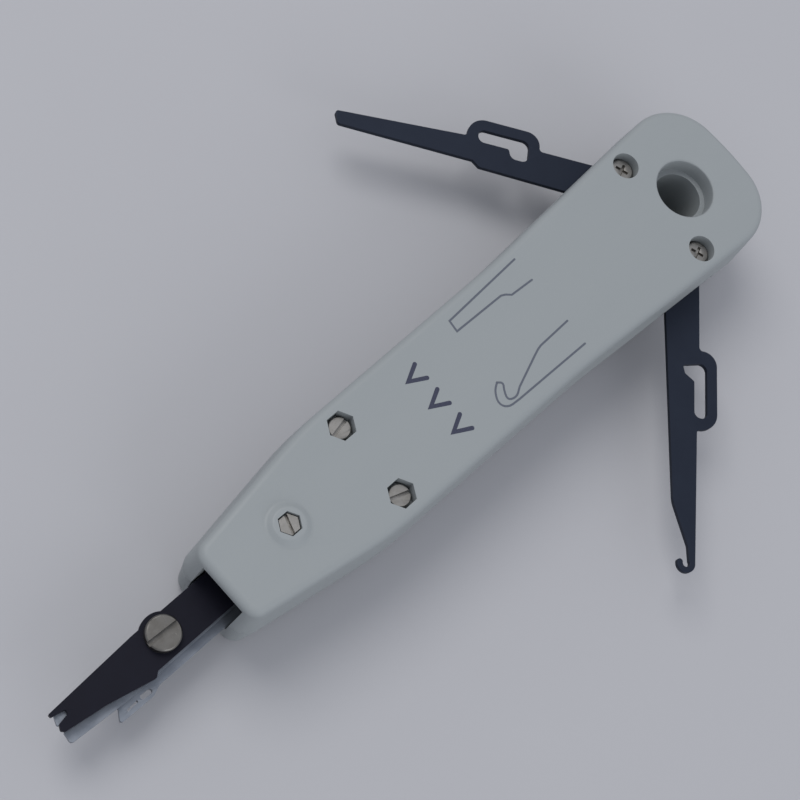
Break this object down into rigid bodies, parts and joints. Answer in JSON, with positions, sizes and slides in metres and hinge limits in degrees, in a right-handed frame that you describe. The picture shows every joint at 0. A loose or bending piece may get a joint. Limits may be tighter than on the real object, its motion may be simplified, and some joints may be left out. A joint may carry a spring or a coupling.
{
  "type": "punch down tool",
  "caption": "Hand insertion tool for insulation-displacement terminals: two-shell handle, sprung forked nose with shears, fold-out strip blade and wire hook.",
  "frame": {"origin": "axis of the hanging hole at the handle's back face", "axes": "+X along the handle to the nose, +Z along the hanging hole and out of the front face, +Y to the side with the wire hook"},
  "size_m": [0.1784, 0.114, 0.023],
  "materials": {
    "handle_plastic": "fine-textured moulded plastic",
    "nickel_steel": "nickel plated",
    "spring_steel": "drawn and hardened",
    "blued_steel": "blued",
    "black_steel": "black oxide",
    "zinc_steel": "blue zinc plated",
    "nylon": "natural nylon"
  },
  "bodies": {
    "handle": {"front_shell": "handle_plastic", "back_shell": "handle_plastic", "shell_screws": "nickel_steel", "shell_nuts": "nickel_steel", "guide_screw": "nickel_steel", "guide_sleeve": "nickel_steel", "guide_nut": "nickel_steel", "pivot_screws": "nickel_steel", "pivot_sleeves": "nickel_steel", "friction_washers": "spring_steel", "spring_seat": "spring_steel", "main_spring": "spring_steel"},
    "nose": {"pusher_plate": "black_steel", "fixed_cutter": "zinc_steel", "carrier_plate": "zinc_steel", "nose_screw": "nickel_steel", "nose_sleeve": "nickel_steel", "nose_nut": "nickel_steel", "slide_block": "nylon", "block_rivets": "nickel_steel", "plunger_rod": "nickel_steel", "rod_clip": "spring_steel"},
    "cutter": {"moving_cutter": "zinc_steel"},
    "strip_arm": {"strip_blade": "blued_steel"},
    "hook_arm": {"hook_blade": "blued_steel"}
  },
  "joints": [
    {"name": "nose_slide", "type": "slide", "parent": "handle", "child": "nose", "axis": [-1, 0, 0], "range_m": [0, 0.005], "stiffness_N_per_m": 2500, "springref_m": -0.01, "deforming": ["main_spring"]},
    {"name": "cutter_close", "type": "hinge", "parent": "nose", "child": "cutter", "pos_m": [0.1388, -0.0012, 0.00915], "axis": [0, 0, -1], "range_deg": [0, 6.05]},
    {"name": "strip_fold", "type": "hinge", "parent": "handle", "child": "strip_arm", "pos_m": [0.0072, -0.0113, 0.011], "axis": [0, 0, 1], "range_deg": [-39, 55]},
    {"name": "hook_fold", "type": "hinge", "parent": "handle", "child": "hook_arm", "pos_m": [0.0072, 0.0113, 0.011], "axis": [0, 0, -1], "range_deg": [-48, 46]}
  ],
  "couplings": [
    {"joint": "cutter_close", "follows": "nose_slide", "rad_per_m": 20.944}
  ]
}
